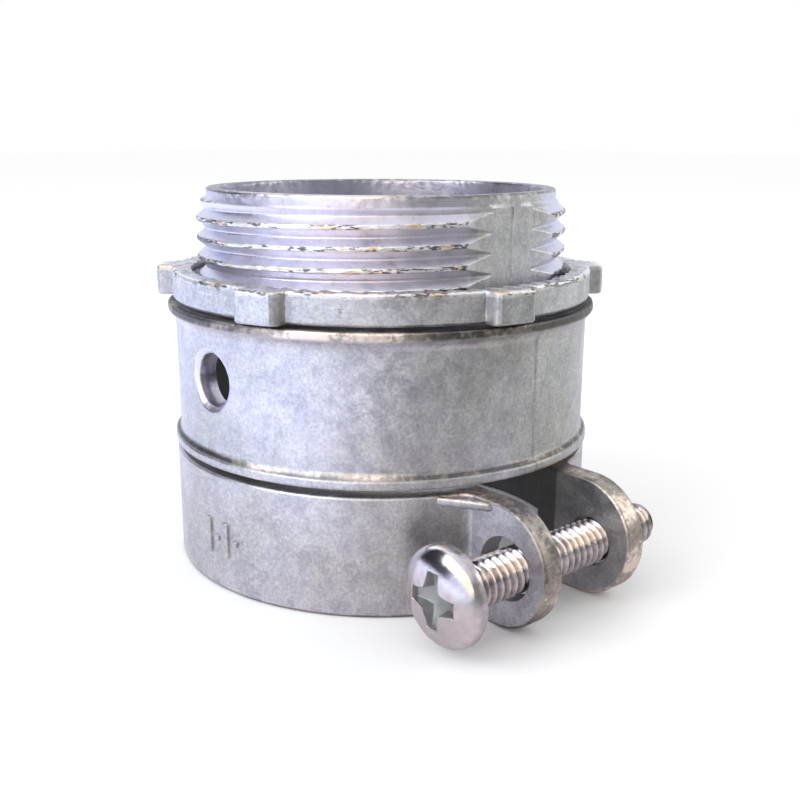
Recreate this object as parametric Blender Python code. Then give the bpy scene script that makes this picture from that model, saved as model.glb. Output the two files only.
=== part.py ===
"""One-screw squeeze connector for 1-1/2 trade size flexible metal conduit, with its locknut.

Frame: metres, +Z up along the fitting's axis.  The origin is on that axis, in the plane of the
shoulder that seats on the enclosure wall.  The clamp ears stand out along +X, the clamp screw
runs along +Y with its head at -Y, and the threaded hub points to +Z.
"""
import math

import bmesh
import bpy
from mathutils import Matrix, Vector

MM = 0.001

# ---- driving dimensions, in millimetres and degrees ----
SEGMENTS = 60                  # sides of every large round shape
HOLE_SEGMENTS = 24             # sides of the round holes
CLEARANCE = 0.3                # least gap between two pieces
OVERCUT = 1.0                  # how far a cutter stands out beyond what it cuts

HUB_TOP_Z = 14.2               # top of the hub above the shoulder
BASE_Z = -33.6                 # bottom of the clamp band below the shoulder
HUB_BORE_R = 21.0              # throat that the wires pass through
SOCKET_R = 24.3                # barrel bore that the conduit's end enters
STOP_Z = -3.0                  # ledge that stops the conduit

THREAD_CREST_R = 23.9
THREAD_ROOT_R = 22.9
THREAD_PITCH = 2.4
THREAD_START_Z = 0.4           # where the lowest thread root crosses angle 0
THREAD_STRIP_TURNS = 4
THREAD_ROWS = 5                # points across one pitch
THREAD_TOP_Z = 12.7
LEAD_IN_R = 22.6
PARTING_ANGLE = 2.5            # mould parting line, measured from the ears
FLAT_HALF_ANGLE = 20.0         # relief flats on the thread at the parting line
FLAT_DISTANCE = 22.95

RIM_CHAMFER = 0.4              # round the hub's mouth, inside and out
EDGE_CHAMFER = 0.25            # on the casting's other turned edges
FLANGE_R = 27.9
FLANGE_THICKNESS = 0.95
BARREL_R = 27.0
BARREL_BLEND = 0.7             # height of the slopes from the barrel out to the flange and bead
BEAD_R = 27.7
BEAD_HEIGHT = 1.0
BEAD_BOTTOM_Z = -18.0
SIGHT_HOLE_ANGLE = -88.4
SIGHT_HOLE_Z = -7.65
SIGHT_HOLE_R = 3.2
SIGHT_BEVEL_R = 3.85
SIGHT_BEVEL_DEPTH = 0.5

BAND_R = 27.5
BAND_BORE_R = 24.55
BAND_TOP_Z = -18.9             # a slot under the bead frees the band
BAND_MIDDLE_Z = (BAND_TOP_Z + BASE_Z) / 2.0
ROOT_HALF_ANGLE = 38.0         # the band joins the barrel over twice this, behind
ROOT_OVERLAP = 0.6             # how far the root reaches up into the bead
HINGE_GAP_ANGLE = 0.8

EAR_GAP = 11.6                 # open distance between the two ears
EAR_THICKNESS = 2.9
EAR_FACE_Y = EAR_GAP / 2.0
EAR_BACK_Y = EAR_FACE_Y + EAR_THICKNESS
EAR_CENTRE_X = 30.85           # centre of the ears' round ends
EAR_END_R = (BAND_TOP_Z - BASE_Z) / 2.0
CLEARANCE_HOLE_X = 32.1
CLEARANCE_HOLE_R = 3.7
SCREW_X = 32.3
SCREW_Z = BASE_Z + 6.95
TAPPED_HOLE_R = 3.05

SCREW_R = 2.75
SCREW_ROOT_R = 2.2
SCREW_PITCH = 1.06
SCREW_SEGMENTS = 16
SCREW_ROWS = 3
SCREW_RUN_OUT = 0.5            # plain shank at each end of the thread
SCREW_PIVOT = (SCREW_X, 0.0, SCREW_Z)
HEAD_UNDER_Y = -17.1
HEAD_R = 5.75
HEAD_RIM = 0.9
HEAD_HEIGHT = 3.1
HEAD_TOP_Y = HEAD_UNDER_Y - HEAD_HEIGHT
DOME_STEPS = 6
SCREW_TIP_Y = 15.9
RECESS_R = 3.15
RECESS_FLOOR_R = 1.3
RECESS_DEPTH = 1.8
RECESS_WIDTH = 1.5
RECESS_FLOOR_WIDTH = 1.05
SCREW_CORE_R = 1.35
SCREW_CORE_BORE_R = 1.7
SCREW_CORE_SEGMENTS = 12

NUT_BOTTOM_Z = 0.45
NUT_THICKNESS = 3.7
NUT_R = 27.3
NUT_BORE_R = 24.2
NUT_SPLIT_R = 25.4             # outer radius of the locknut's inner ring
LUG_COUNT = 6
LUG_R = 29.4
LUG_FIRST_ANGLE = -8.4
LUG_HALF_ANGLE_ROOT = 6.4
LUG_HALF_ANGLE_TIP = 5.0


def polar(radius, angle_deg, z):
    """Point at a radius and an angle from +X about the fitting's axis."""
    angle = math.radians(angle_deg)
    return Vector((radius * math.cos(angle), radius * math.sin(angle), z))


def material(name, colour, roughness, metallic):
    mat = bpy.data.materials.new(name)
    mat.use_nodes = True
    shader = mat.node_tree.nodes["Principled BSDF"]
    shader.inputs["Base Color"].default_value = (*colour, 1.0)
    shader.inputs["Roughness"].default_value = roughness
    shader.inputs["Metallic"].default_value = metallic
    return mat


def make_object(name, bm, mat, pivot=(0.0, 0.0, 0.0)):
    """Close a millimetre bmesh into a metre object whose origin is on its joint axis."""
    pivot = Vector(pivot)
    bmesh.ops.transform(bm, matrix=Matrix.Scale(MM, 4) @ Matrix.Translation(-pivot), verts=bm.verts)
    bmesh.ops.recalc_face_normals(bm, faces=bm.faces)
    mesh = bpy.data.meshes.new(name)
    bm.to_mesh(mesh)
    bm.free()
    obj = bpy.data.objects.new(name, mesh)
    obj.location = pivot * MM
    bpy.context.scene.collection.objects.link(obj)
    if mat:
        mesh.materials.append(mat)
    mesh.shade_smooth()
    mesh.set_sharp_from_angle(angle=math.radians(30))
    return obj


def make_guide(name, bm, pivot=(0.0, 0.0, 0.0)):
    """A solid that only cuts or joins another, and isn't a piece of the fitting."""
    guide = make_object(name, bm, None, pivot)
    guide.hide_render = True
    guide.display_type = "WIRE"
    return guide


def boolean(obj, operation, guide):
    modifier = obj.modifiers.new(f"{operation.lower()}_{guide.name}", "BOOLEAN")
    modifier.operation = operation
    modifier.solver = "EXACT"
    modifier.object = guide


def ring(bm, radius, z, segments=SEGMENTS):
    return [bm.verts.new(polar(radius, 360.0 * i / segments, z)) for i in range(segments)]


def bridge(bm, lower, upper):
    count = len(lower)
    for i in range(count):
        j = (i + 1) % count
        bm.faces.new((lower[i], lower[j], upper[j], upper[i]))


def turn_closed_profile(bm, profile, segments=SEGMENTS):
    """Turn a closed (radius, z) profile round Z."""
    rings = [ring(bm, radius, z, segments) for radius, z in profile]
    for lower, upper in zip(rings, rings[1:] + rings[:1]):
        bridge(bm, lower, upper)


def prism(bm, outline, offset):
    """Solid between a closed outline of points and its copy moved by offset."""
    near = [bm.verts.new(point) for point in outline]
    far = [bm.verts.new(Vector(point) + Vector(offset)) for point in outline]
    bridge(bm, near, far)
    bm.faces.new(near)
    bm.faces.new(far)


def arc_points(radius, start, end, z, step=6.0):
    count = max(2, math.ceil(abs(end - start) / step))
    return [polar(radius, start + (end - start) * i / count, z) for i in range(count + 1)]


def thread_skin(bm, lower, upper, segments, rows, turns, point):
    """Helical strip of faces from the ring lower to the ring upper.

    point(step, row) gives the surface point a number of steps round and a number of rows up
    from the thread's start.  Row number rows at one step is row 0 one full turn later.
    """
    last = segments * turns
    line = [bm.verts.new(point(step, 0)) for step in range(last + segments + 1)]
    inner = [[bm.verts.new(point(step, row)) for row in range(1, rows)] for step in range(last + 1)]

    def column(step):
        return [line[step], *inner[step], line[step + segments]]

    for step in range(last):
        left, right = column(step), column(step + 1)
        for row in range(rows):
            bm.faces.new((left[row], right[row], right[row + 1], left[row + 1]))
    for step in range(segments - 1):
        bm.faces.new((lower[step], lower[step + 1], line[step + 1], line[step]))
    fan(bm, line[segments - 1], [lower[-1], lower[0], *column(0)])
    fan(bm, line[last + 1], [*column(last), upper[0], upper[1]])
    for step in range(1, segments):
        here = last + step
        bm.faces.new((line[here], line[here + 1], upper[(step + 1) % segments], upper[step]))


def fan(bm, centre, points):
    for here, there in zip(points, points[1:]):
        bm.faces.new((centre, here, there))


def ridge(phase, flank=0.3):
    """Height of a flat-crested V thread, 0 to 1, at a phase of 0 to 1 across its pitch."""
    return min(1.0, max(0.0, (0.5 - abs(phase - 0.5)) / flank - 0.1))


def hub_thread_point(step, row):
    turns = step / SEGMENTS + row / THREAD_ROWS
    angle = 360.0 * step / SEGMENTS
    z = THREAD_START_Z + THREAD_PITCH * turns
    fade_in = min(1.0, turns / 0.5)
    fade_out = min(1.0, max(0.0, (THREAD_TOP_Z - 0.7 - z) / 0.7))
    root = THREAD_ROOT_R + (LEAD_IN_R - THREAD_ROOT_R) * (1.0 - fade_out)
    height = ridge((row / THREAD_ROWS) % 1.0) * min(fade_in, fade_out)
    radius = root + (THREAD_CREST_R - THREAD_ROOT_R) * height
    beside_flat = (angle - PARTING_ANGLE + 90.0) % 180.0 - 90.0
    if abs(beside_flat) < FLAT_HALF_ANGLE:
        radius = min(radius, FLAT_DISTANCE / math.cos(math.radians(beside_flat)))
    return polar(radius, angle, z)


def fitting_body(mat):
    """Hub, thread, shoulder, barrel, bead and the fixed back of the band, as one casting."""
    bm = bmesh.new()
    rim, edge = RIM_CHAMFER, EDGE_CHAMFER
    # from the lead-in over the hub's mouth, down the bore, and up the outside to the thread
    profile = [
        (LEAD_IN_R, THREAD_TOP_Z), (LEAD_IN_R, HUB_TOP_Z - rim), (LEAD_IN_R - rim, HUB_TOP_Z),
        (HUB_BORE_R + rim, HUB_TOP_Z), (HUB_BORE_R, HUB_TOP_Z - rim),
        (HUB_BORE_R, STOP_Z + edge), (HUB_BORE_R + edge, STOP_Z), (SOCKET_R, STOP_Z),
        (SOCKET_R, BEAD_BOTTOM_Z), (BEAD_R - edge, BEAD_BOTTOM_Z), (BEAD_R, BEAD_BOTTOM_Z + edge),
        (BEAD_R, BEAD_BOTTOM_Z + BEAD_HEIGHT), (BARREL_R, BEAD_BOTTOM_Z + BEAD_HEIGHT + BARREL_BLEND),
        (BARREL_R, -FLANGE_THICKNESS - BARREL_BLEND), (FLANGE_R, -FLANGE_THICKNESS),
        (FLANGE_R, -edge), (FLANGE_R - edge, 0.0), (THREAD_ROOT_R, 0.0),
    ]
    rings = [ring(bm, radius, z) for radius, z in profile]
    for here, there in zip(rings, rings[1:]):
        bridge(bm, here, there)
    thread_skin(bm, rings[-1], rings[0], SEGMENTS, THREAD_ROWS, THREAD_STRIP_TURNS, hub_thread_point)
    body = make_object("fitting_body", bm, mat)
    boolean(body, "UNION", band_root())
    boolean(body, "DIFFERENCE", sight_hole_cutter())
    return body


def band_root():
    """The back of the band, which stays joined to the barrel."""
    bm = bmesh.new()
    start, end = 180.0 - ROOT_HALF_ANGLE, 180.0 + ROOT_HALF_ANGLE
    outline = arc_points(BAND_R, start, end, BASE_Z) + arc_points(BAND_BORE_R, end, start, BASE_Z)
    prism(bm, outline, (0.0, 0.0, BEAD_BOTTOM_Z + ROOT_OVERLAP - BASE_Z))
    return make_guide("band_root", bm)


def sight_hole_cutter():
    """Round hole through the barrel wall, bevelled at the outside."""
    inside = SOCKET_R - 2.0 * OVERCUT
    stations = [(inside, SIGHT_HOLE_R), (BARREL_R - SIGHT_BEVEL_DEPTH, SIGHT_HOLE_R),
                (BARREL_R, SIGHT_BEVEL_R), (BARREL_R + OVERCUT, SIGHT_BEVEL_R)]
    bm = bmesh.new()
    rings = [ring(bm, radius, along, HOLE_SEGMENTS) for along, radius in stations]
    for lower, upper in zip(rings, rings[1:]):
        bridge(bm, lower, upper)
    bm.faces.new(rings[0])
    bm.faces.new(rings[-1])
    lie_down = Matrix.Rotation(math.radians(90), 4, "Y")
    aim = Matrix.Rotation(math.radians(SIGHT_HOLE_ANGLE), 4, "Z")
    place = Matrix.Translation((0.0, 0.0, SIGHT_HOLE_Z))
    bmesh.ops.transform(bm, matrix=place @ aim @ lie_down, verts=bm.verts)
    return make_guide("sight_hole_cutter", bm)


def hinge_pivot(side):
    """Where a band arm flexes: the middle of the wall beside the fixed root."""
    return polar((BAND_R + BAND_BORE_R) / 2.0, side * (180.0 - ROOT_HALF_ANGLE), BASE_Z)


def clamp_arm(name, side, mat):
    """Half of the band with its ear; side is -1 for the front (-Y) and +1 for the rear."""
    back_angle = 180.0 - ROOT_HALF_ANGLE - HINGE_GAP_ANGLE
    ear_back_angle = math.degrees(math.asin(EAR_BACK_Y / BAND_R))
    ear_face_angle = math.degrees(math.asin(EAR_FACE_Y / BAND_BORE_R))
    ear_end_x = EAR_CENTRE_X + EAR_END_R
    outline = arc_points(BAND_R, back_angle, ear_back_angle, BASE_Z)
    outline += [Vector((ear_end_x, EAR_BACK_Y, BASE_Z)), Vector((ear_end_x, EAR_FACE_Y, BASE_Z))]
    outline += arc_points(BAND_BORE_R, ear_face_angle, back_angle, BASE_Z)
    bm = bmesh.new()
    prism(bm, [Vector((p.x, side * p.y, p.z)) for p in outline], (0.0, 0.0, BAND_TOP_Z - BASE_Z))
    arm = make_object(name, bm, mat, hinge_pivot(side))
    boolean(arm, "DIFFERENCE", ear_end_cutter(name, side))
    if side < 0:
        hole = (CLEARANCE_HOLE_X, BAND_MIDDLE_Z, CLEARANCE_HOLE_R)
    else:
        hole = (SCREW_X, SCREW_Z, TAPPED_HOLE_R)
    boolean(arm, "DIFFERENCE", ear_hole_cutter(name, side, *hole))
    return arm


def ear_end_cutter(name, side):
    """Takes the corners off an ear so that its end is a half circle as tall as the band."""
    y = side * (EAR_FACE_Y - OVERCUT)
    beyond = EAR_CENTRE_X + EAR_END_R + OVERCUT
    low, high = BASE_Z - OVERCUT, BAND_TOP_Z + OVERCUT
    outline = [(EAR_CENTRE_X, y, low), (beyond, y, low), (beyond, y, high), (EAR_CENTRE_X, y, high)]
    steps = HOLE_SEGMENTS // 2
    for i in range(steps + 1):
        angle = math.radians(90.0 - 180.0 * i / steps)
        x = EAR_CENTRE_X + EAR_END_R * math.cos(angle)
        outline.append((x, y, BAND_MIDDLE_Z + EAR_END_R * math.sin(angle)))
    bm = bmesh.new()
    prism(bm, outline, (0.0, side * (EAR_THICKNESS + 2.0 * OVERCUT), 0.0))
    return make_guide(f"{name}_end_cutter", bm)


def ear_hole_cutter(name, side, x, z, radius):
    bm = bmesh.new()
    y = side * (EAR_FACE_Y - OVERCUT)
    angles = [math.tau * i / HOLE_SEGMENTS for i in range(HOLE_SEGMENTS)]
    circle = [(x + radius * math.cos(a), y, z + radius * math.sin(a)) for a in angles]
    prism(bm, circle, (0.0, side * (EAR_THICKNESS + 2.0 * OVERCUT), 0.0))
    return make_guide(f"{name}_hole_cutter", bm)


def screw_thread_point(step, row):
    turns = step / SCREW_SEGMENTS + row / SCREW_ROWS
    y = HEAD_UNDER_Y + SCREW_RUN_OUT + SCREW_PITCH * turns
    fade = min(1.0, 2.0 * turns, max(0.0, (SCREW_TIP_Y - SCREW_RUN_OUT - y) / SCREW_PITCH))
    height = (row % SCREW_ROWS != 0) * fade
    return polar(SCREW_ROOT_R + (SCREW_R - SCREW_ROOT_R) * height, 360.0 * step / SCREW_SEGMENTS, y)


def clamp_screw(mat):
    """Truss-head screw whose shank is open at the tip, round its own core."""
    segments = SCREW_SEGMENTS
    turns = int((SCREW_TIP_Y - HEAD_UNDER_Y - 2.0 * SCREW_RUN_OUT) / SCREW_PITCH) - 1
    bm = bmesh.new()
    dome = []
    for i in range(DOME_STEPS):
        part = math.pi / 2.0 * i / DOME_STEPS
        rise = HEAD_RIM + (HEAD_HEIGHT - HEAD_RIM) * math.sin(part)
        dome.append((HEAD_R * math.cos(part), HEAD_UNDER_Y - rise))
    lower = ring(bm, SCREW_ROOT_R, HEAD_UNDER_Y, segments)
    upper = ring(bm, SCREW_ROOT_R, SCREW_TIP_Y - 0.1, segments)
    head = [ring(bm, radius, y, segments) for radius, y in [(HEAD_R, HEAD_UNDER_Y), *dome]]
    apex = bm.verts.new((0.0, 0.0, HEAD_TOP_Y))
    tube = [ring(bm, radius, y, segments) for radius, y in [
        (SCREW_ROOT_R - 0.1, SCREW_TIP_Y), (SCREW_CORE_BORE_R, SCREW_TIP_Y),
        (SCREW_CORE_BORE_R, HEAD_UNDER_Y)]]
    for here, there in zip([lower, *head], head):
        bridge(bm, here, there)
    fan(bm, apex, [*head[-1], head[-1][0]])
    thread_skin(bm, lower, upper, segments, SCREW_ROWS, turns, screw_thread_point)
    for here, there in zip([upper, *tube], tube):
        bridge(bm, here, there)
    bm.faces.new(tube[-1])
    lay_along_y(bm)
    screw = make_object("clamp_screw", bm, mat, SCREW_PIVOT)
    boolean(screw, "DIFFERENCE", recess_cutter())
    return screw


def lay_along_y(bm):
    """Turn a solid built up Z so that it runs along +Y, and carry it to the screw's axis."""
    turn = Matrix.Rotation(math.radians(-90), 4, "X")
    bmesh.ops.transform(bm, matrix=Matrix.Translation(SCREW_PIVOT) @ turn, verts=bm.verts)


def recess_cutter():
    """Tapered cross recess."""
    mouth = (HEAD_TOP_Y - OVERCUT, RECESS_R, RECESS_WIDTH / 2.0)
    floor = (HEAD_TOP_Y + RECESS_DEPTH, RECESS_FLOOR_R, RECESS_FLOOR_WIDTH / 2.0)
    bm = bmesh.new()
    loops = []
    for y, reach, half in (mouth, floor):
        loop = []
        for quarter in range(4):
            turn = Matrix.Rotation(math.radians(90 * quarter), 3, "Z")
            for corner in ((reach, -half, 0.0), (reach, half, 0.0), (half, half, 0.0)):
                loop.append(bm.verts.new(turn @ Vector(corner) + Vector((0.0, 0.0, y))))
        loops.append(loop)
    bridge(bm, *loops)
    bm.faces.new(loops[0])
    bm.faces.new(loops[1])
    lay_along_y(bm)
    return make_guide("recess_cutter", bm, SCREW_PIVOT)


def clamp_screw_core(mat):
    """The screw's inner rod, which carries the advance along the axis."""
    bm = bmesh.new()
    stations = (HEAD_UNDER_Y + CLEARANCE, SCREW_TIP_Y)
    ends = [ring(bm, SCREW_CORE_R, y, SCREW_CORE_SEGMENTS) for y in stations]
    bridge(bm, *ends)
    for end in ends:
        bm.faces.new(end)
    lay_along_y(bm)
    return make_object("clamp_screw_core", bm, mat, SCREW_PIVOT)


def locknut(mat):
    """Ring with six driving lugs."""
    outline = []
    root, tip, spacing = LUG_HALF_ANGLE_ROOT, LUG_HALF_ANGLE_TIP, 360.0 / LUG_COUNT
    for lug in range(LUG_COUNT):
        middle = LUG_FIRST_ANGLE + lug * spacing
        outline += [polar(NUT_R, middle - root, NUT_BOTTOM_Z)]
        outline += arc_points(LUG_R, middle - tip, middle + tip, NUT_BOTTOM_Z)
        outline += arc_points(NUT_R, middle + root, middle + spacing - root, NUT_BOTTOM_Z)[:-1]
    bm = bmesh.new()
    prism(bm, outline, (0.0, 0.0, NUT_THICKNESS))
    nut = make_object("locknut", bm, mat)
    cutter = bmesh.new()
    circle = [polar(NUT_SPLIT_R + CLEARANCE, 360.0 * i / SEGMENTS, NUT_BOTTOM_Z - OVERCUT)
              for i in range(SEGMENTS)]
    prism(cutter, circle, (0.0, 0.0, NUT_THICKNESS + 2.0 * OVERCUT))
    boolean(nut, "DIFFERENCE", make_guide("locknut_bore_cutter", cutter))
    return nut


def locknut_core(mat):
    """The locknut's threaded inner ring, which carries its climb along the hub."""
    bm = bmesh.new()
    top = NUT_BOTTOM_Z + NUT_THICKNESS
    turn_closed_profile(bm, [(NUT_SPLIT_R, NUT_BOTTOM_Z), (NUT_SPLIT_R, top), (NUT_BORE_R, top),
                             (NUT_BORE_R, NUT_BOTTOM_Z)])
    return make_object("locknut_core", bm, mat)


def main():
    for old in list(bpy.data.objects):
        bpy.data.objects.remove(old, do_unlink=True)
    casting = material("zinc_casting", (0.62, 0.64, 0.68), 0.38, 0.9)
    cast_nut = material("zinc_locknut", (0.66, 0.68, 0.72), 0.45, 0.9)
    steel = material("plated_steel", (0.70, 0.67, 0.68), 0.25, 1.0)
    fitting_body(casting)
    clamp_arm("clamp_arm_front", -1, casting)
    clamp_arm("clamp_arm_rear", 1, casting)
    clamp_screw(steel)
    clamp_screw_core(steel)
    locknut(cast_nut)
    locknut_core(cast_nut)


main()
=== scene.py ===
"""Looks of the conduit squeeze connector: fine meshes, cast-metal finishes, light and camera.

Every size below is in millimetres and every angle in degrees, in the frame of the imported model:
+Z out of the threaded hub, +X towards the clamp ears, the screw's head towards -Y.
"""
import math

import bmesh
import bpy
import numpy as np
from mathutils import Matrix, Vector


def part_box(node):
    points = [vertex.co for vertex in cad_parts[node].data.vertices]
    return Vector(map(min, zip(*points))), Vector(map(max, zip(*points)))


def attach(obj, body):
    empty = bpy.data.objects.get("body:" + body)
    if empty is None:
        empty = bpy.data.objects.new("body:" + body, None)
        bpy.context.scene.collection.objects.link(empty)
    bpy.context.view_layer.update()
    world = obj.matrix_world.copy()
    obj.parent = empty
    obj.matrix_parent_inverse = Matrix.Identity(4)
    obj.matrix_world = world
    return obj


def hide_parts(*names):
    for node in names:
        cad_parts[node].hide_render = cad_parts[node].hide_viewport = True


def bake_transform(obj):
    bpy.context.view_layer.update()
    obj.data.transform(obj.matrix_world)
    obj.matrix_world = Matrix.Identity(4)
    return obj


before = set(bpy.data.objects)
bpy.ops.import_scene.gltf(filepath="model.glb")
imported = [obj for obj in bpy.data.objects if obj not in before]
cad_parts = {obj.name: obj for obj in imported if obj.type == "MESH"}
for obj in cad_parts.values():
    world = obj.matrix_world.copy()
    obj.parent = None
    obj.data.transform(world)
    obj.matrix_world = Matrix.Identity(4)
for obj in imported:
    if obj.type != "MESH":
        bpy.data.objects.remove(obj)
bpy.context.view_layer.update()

MM = 0.001
FAR = 99.0  # a radius or height that nothing reaches


def corners(node):
    """Lowest and highest corner of a CAD node, in millimetres."""
    low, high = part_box(node)
    return low / MM, high / MM


body_low, body_high = corners("fitting_body")
arm_high = corners("clamp_arm_front")[1]
nut_low, nut_high = corners("locknut")
screw_low, screw_high = corners("clamp_screw")

# ---- hub, shoulder and barrel ----
COLUMNS = 720  # points round every large turned surface
HUB_TOP = body_high.z
BASE = body_low.z
HUB_BORE_R = 21.0
SOCKET_R = 24.3
STOP_Z = -3.0
FLANGE_R = 27.88
BARREL_R = 27.0
BEAD_R = 27.7
BEAD_BOTTOM = -18.0
WALL_SPACING = 0.25  # between rows of points down the walls
HIGHLIGHT_ANGLE = -58.0  # where a painted highlight falls on the flange's and the bead's edges and on the crests
EJECTOR_MARKS = ((-63.7, -9.2), (-43.8, -7.3), (-43.1, -4.1))  # angle and height of each
EJECTOR_MARK_R = 0.8
MARKS = ("flash", "oxide_and_shade", "inside", "wear_and_highlight", "bare_and_painted_light")  # the finish of each point, 0 to 1; some marks also carry painted highlight, painted shade and painted light

# ---- hub thread ----
PITCH = 2.4
CREST_Z = 1.6  # height of the lowest crest at angle 0
CREST_R = 23.85
ROOT_R = 22.85
THREAD_TOP = 12.7
LEAD_IN_R = 22.6
CREST_HALF = 0.2  # half the width of the flat along a crest
ROOT_HALF = 0.1
THREAD_ROWS = 30  # rows of points in one pitch
PARTING_ANGLE = 2.5
SEAMS = (PARTING_ANGLE, PARTING_ANGLE + 180.0)
FLAT_DISTANCE = 22.62  # relief flats across the thread at the parting line

# ---- sight hole ----
SIGHT_ANGLE = -88.4
SIGHT_Z = -7.65
SIGHT_R = 3.2
SIGHT_BEVEL_R = 3.85
OPENING_R = SIGHT_BEVEL_R + 0.9  # half the size of the patch of wall that the hole replaces
SIGHT_RINGS = 10  # rings of points added in and round the hole

# ---- clamp band and ears ----
BAND_R = 27.5
BAND_BORE_R = 24.55
BAND_TOP = arm_high.z
BAND_MID = (BAND_TOP + BASE) / 2
EAR_FACE = -arm_high.y
EAR_BACK = EAR_FACE + 2.9
EAR_TIP = arm_high.x
EAR_END_R = (BAND_TOP - BASE) / 2
EAR_CENTRE = EAR_TIP - EAR_END_R
EAR_FILLET = 1.4
ROOT_ANGLE = 38.0
WALL_END_X = 26.8  # where the ear's inner face takes over from the band's end
RIB_ANGLE = 26.8  # where the web in the ear's corner leaves the band
RIB_END = 29.9
RIB_STEP = 0.35
RIB_HEIGHT = 1.1
RIB_ROUND = 0.4
ARC_STEP = 1.5  # degrees between points along the band
EDGE_ROUND = 0.4  # how far the band's cast edges are rounded off
HOLE_ROUND = 0.16
MARK_ROUND = 0.1
MARK_ANGLE = -89.5  # first of the raised bars and dots
MARK_STEP = 7.04
MARK_Z = BASE + 6.6
MARK_CORNER = 0.3
EAR_START = 24.5  # beyond this x the band is its ear
CLEARANCE_HOLE = (32.1, BAND_MID, 3.7)

# ---- clamp screw, along +Y ----
SCREW_X = (screw_low.x + screw_high.x) / 2
SCREW_Z = (screw_low.z + screw_high.z) / 2
HEAD_R = (screw_high.x - screw_low.x) / 2
HEAD_TOP = -screw_low.y  # distance of the head's top from the middle, towards -Y
HEAD_HEIGHT = 3.1
HEAD_RIM = 0.9
SHANK_R = 2.72
SHANK_ROOT_R = 2.15
SHANK_PITCH = 1.06
SHANK_END = screw_high.y
RECESS_R = 3.2
RECESS_DEPTH = 1.8
RECESS_HALF = 0.84  # half the width of an arm of the cross at its tip
HEAD_COLUMNS = 360  # points round the head and the shank
SHANK_COLUMNS = 120
SHANK_ROWS = 12  # rows of points in one pitch
TAPPED_HOLE = (SCREW_X, SCREW_Z, 2.95)

# ---- locknut ----
NUT_BOTTOM = nut_low.z
NUT_TOP = nut_high.z
NUT_R = 27.25
NUT_BORE_R = 24.25
LUG_R = 29.3
LUG_COUNT = 6
LUG_FIRST = -8.4
LUG_HALF_ROOT = 6.3
LUG_HALF_TIP = 5.1
LUG_CORNER = 0.32  # how far the lugs' upright corners are rounded off
NUT_ROUND_TOP = 0.32
NUT_BOTTOM_CHAMFER = 0.35
LUG_BOTTOM_CHAMFER = 0.22  # the lugs' own bottoms are nearly square
SERRATIONS = 66
SERRATION_DEPTH = 0.22


# ---- shapes from numbers ----
def lattice(x, y, z, seed):
    """A fixed value between -1 and 1 for each whole-number point."""
    n = (x * 374761393 + y * 668265263 + z * 2147483629 + seed * 1274126177) & 0xFFFFFFFF
    n = ((n ^ (n >> 13)) * 1103515245) & 0xFFFFFFFF
    return ((n ^ (n >> 16)) & 0xFFFF) / 32767.5 - 1.0


def rough(points, size, seed):
    """Smooth noise between -1 and 1, with bumps about size across."""
    scaled = points / size
    cell = np.floor(scaled).astype(np.int64)
    part = scaled - cell
    part = part * part * (3.0 - 2.0 * part)
    total = np.zeros(len(points))
    for corner in range(8):
        step = np.array([corner & 1, corner >> 1 & 1, corner >> 2 & 1])
        weight = np.prod(np.where(step, part, 1.0 - part), axis=1)
        total += weight * lattice(*(cell + step).T, seed)
    return total


def around(radius, angle, z):
    """Points at a radius and an angle in degrees about Z, as an (n, 3) array."""
    radius, angle, z = np.broadcast_arrays(radius, np.radians(angle), z)
    flat = [np.ravel(a) for a in (radius * np.cos(angle), radius * np.sin(angle), z)]
    return np.stack(flat, axis=1)


def smooth(value, low, high):
    """0 below low, 1 above high, and a smooth step between."""
    part = np.clip((value - low) / (high - low), 0.0, 1.0)
    return part * part * (3.0 - 2.0 * part)


def part_way(low, high, part):
    """The value that lies part of the way from low to high."""
    return low + (high - low) * part


def column_angles(count):
    """Angles of evenly spaced columns of points."""
    return np.arange(count) * 360.0 / count


def turned(angle, middle):
    """Degrees from middle round to angle, between -180 and 180."""
    return (angle - middle + 180.0) % 360.0 - 180.0


def off_seam(angle):
    """Degrees from the nearer parting-line seam, between -90 and 90."""
    return (angle - PARTING_ANGLE + 90.0) % 180.0 - 90.0


def rounded(profile, spacing):
    """(radius, z) rows along a profile of (radius, z, fillet) corners, spacing or less apart."""
    rows = [np.array(profile[0][:2], float)]
    for before, (r, z, fillet), after in zip(profile, profile[1:], profile[2:]):
        corner = np.array((r, z), float)
        back = np.array(before[:2]) - corner
        ahead = np.array(after[:2]) - corner
        reach = min(fillet, np.linalg.norm(back) * 0.45, np.linalg.norm(ahead) * 0.45)
        start = corner + back / np.linalg.norm(back) * reach
        end = corner + ahead / np.linalg.norm(ahead) * reach
        steps = 5 if reach > 0.02 else 1
        for i in range(steps + 1):
            t = i / steps
            rows.append(start * (1 - t) ** 2 + corner * 2 * t * (1 - t) + end * t * t)
    rows.append(np.array(profile[-1][:2], float))
    dense = [rows[0]]
    for here in rows[1:]:
        length = np.linalg.norm(here - dense[-1])
        if length < 1e-6:
            continue
        parts = max(1, math.ceil(length / spacing))
        start = dense[-1]
        dense += [start + (here - start) * (i + 1) / parts for i in range(parts)]
    return np.array(dense)


def compact(points, faces):
    """Drops repeated corners, faces without area and points without a face."""
    kept = []
    for face in faces:
        corners_left = [v for i, v in enumerate(face) if v != face[i - 1]]
        if len(corners_left) > 2:
            kept.append(corners_left)
    used = np.unique(np.concatenate([np.array(f) for f in kept]))
    new_index = np.full(len(points), -1)
    new_index[used] = np.arange(len(used))
    return points[used], [new_index[f].tolist() for f in kept], used


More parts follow.
